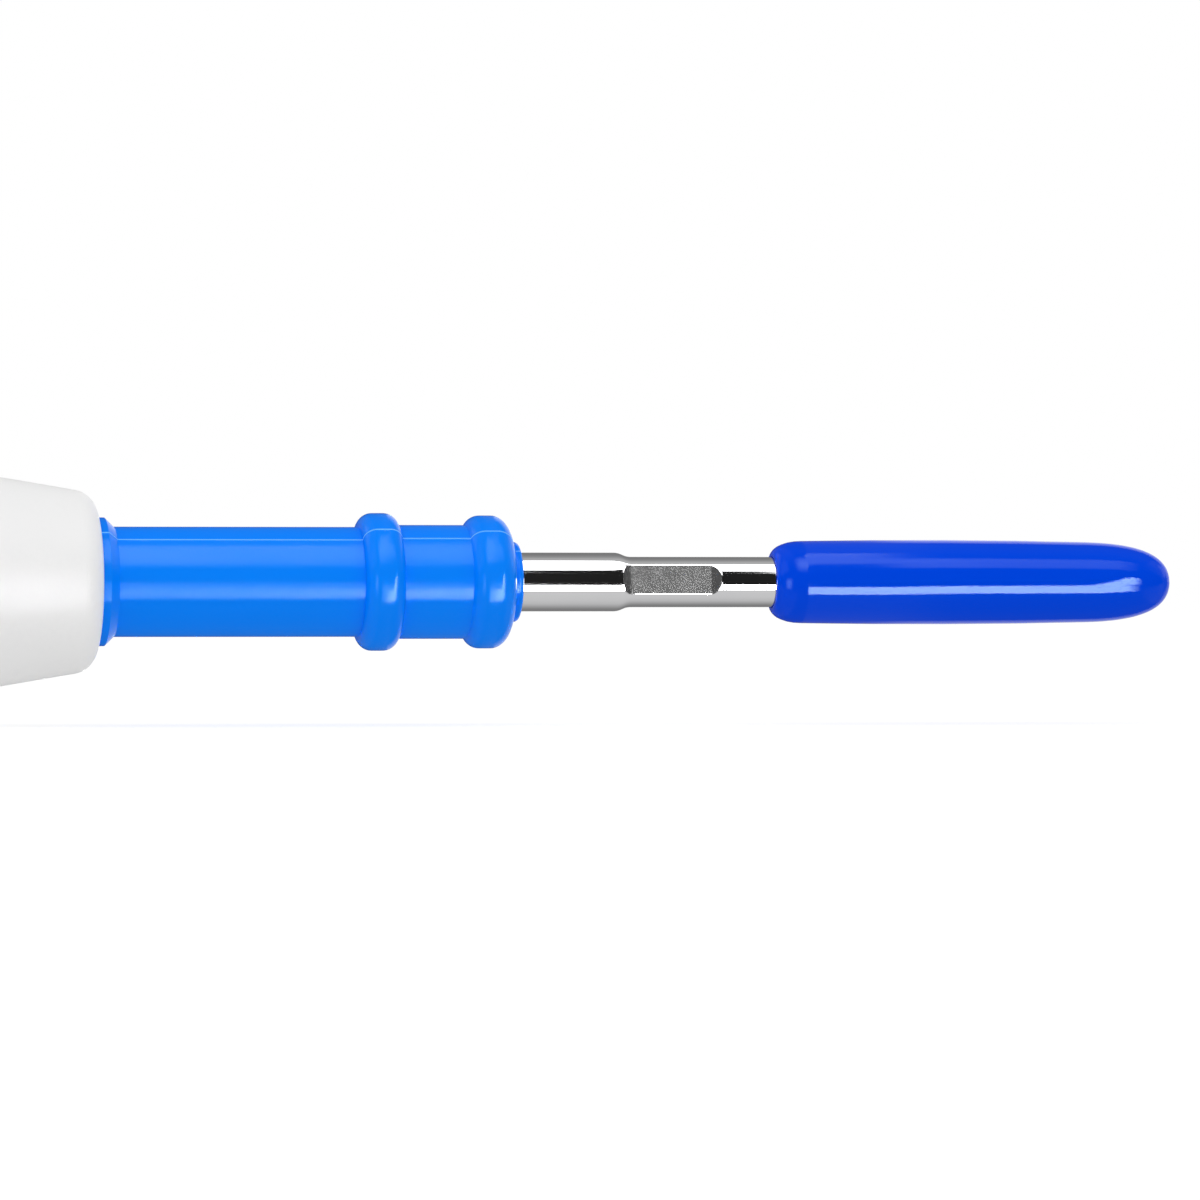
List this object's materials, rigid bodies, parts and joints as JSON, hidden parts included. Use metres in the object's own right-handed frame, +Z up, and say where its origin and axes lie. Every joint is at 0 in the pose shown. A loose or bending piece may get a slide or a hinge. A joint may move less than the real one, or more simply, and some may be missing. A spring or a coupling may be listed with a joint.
{
  "type": "electrosurgical pencil",
  "caption": "Hand-switched electrosurgical pencil with a pull-out blade electrode, its insulating sleeve and a push-on tip cover.",
  "frame": {"origin": "under the middle of the whole length, on the plane of the flat underside", "axes": "+X along the pencil towards the tip, +Z up through the buttons, +Y to the left seen from the tail"},
  "size_m": [0.185, 0.0126, 0.0135],
  "materials": {
    "handle_white": "satin moulded",
    "collar_grey": "satin moulded",
    "sleeve_blue": "semi-gloss moulded, with a fine parting line",
    "cover_blue": "high gloss",
    "shaft_steel": "ground and polished, blasted in the crimp",
    "blade_steel": "ground",
    "spring_steel": "bright drawn",
    "brass": "turned",
    "pad_gold": "plated",
    "board_green": "solder mask",
    "seal_rubber": "matt moulded",
    "button_silicone": "matt moulded",
    "cut_yellow": "semi-gloss moulded",
    "coag_blue": "semi-gloss moulded",
    "gland_rubber": "matt moulded"
  },
  "bodies": {
    "handle": {"nose_cone": "handle_white", "upper_shell": "handle_white", "lower_shell": "handle_white", "tail_collar": "collar_grey", "cable_gland": "gland_rubber", "shaft_seal": "seal_rubber", "electrode_socket": "brass", "socket_spring": "spring_steel", "active_strap": "brass", "circuit_board": "board_green", "contact_pads": "pad_gold", "terminal_pins": "brass", "cut_dome": "spring_steel", "coag_dome": "spring_steel", "button_seal": "button_silicone"},
    "electrode": {"electrode_sleeve": "sleeve_blue", "electrode_shaft": "shaft_steel", "electrode_blade": "blade_steel"},
    "tip_cover": {"tip_cover": "cover_blue"},
    "cut_button": {"cut_button": "cut_yellow"},
    "coag_button": {"coag_button": "coag_blue"}
  },
  "joints": [
    {"name": "electrode_pull", "type": "slide", "parent": "handle", "child": "electrode", "axis": [1, 0, 0], "range_m": [0, 0.03]},
    {"name": "cover_pull", "type": "slide", "parent": "electrode", "child": "tip_cover", "axis": [1, 0, 0], "range_m": [0, 0.02]},
    {"name": "cut_press", "type": "slide", "parent": "handle", "child": "cut_button", "axis": [0, 0, -1], "range_m": [0, 0.0004], "stiffness_N_per_m": 4000, "deforming": ["cut_dome", "button_seal"]},
    {"name": "coag_press", "type": "slide", "parent": "handle", "child": "coag_button", "axis": [0, 0, -1], "range_m": [0, 0.0004], "stiffness_N_per_m": 4000, "deforming": ["coag_dome", "button_seal"]}
  ]
}
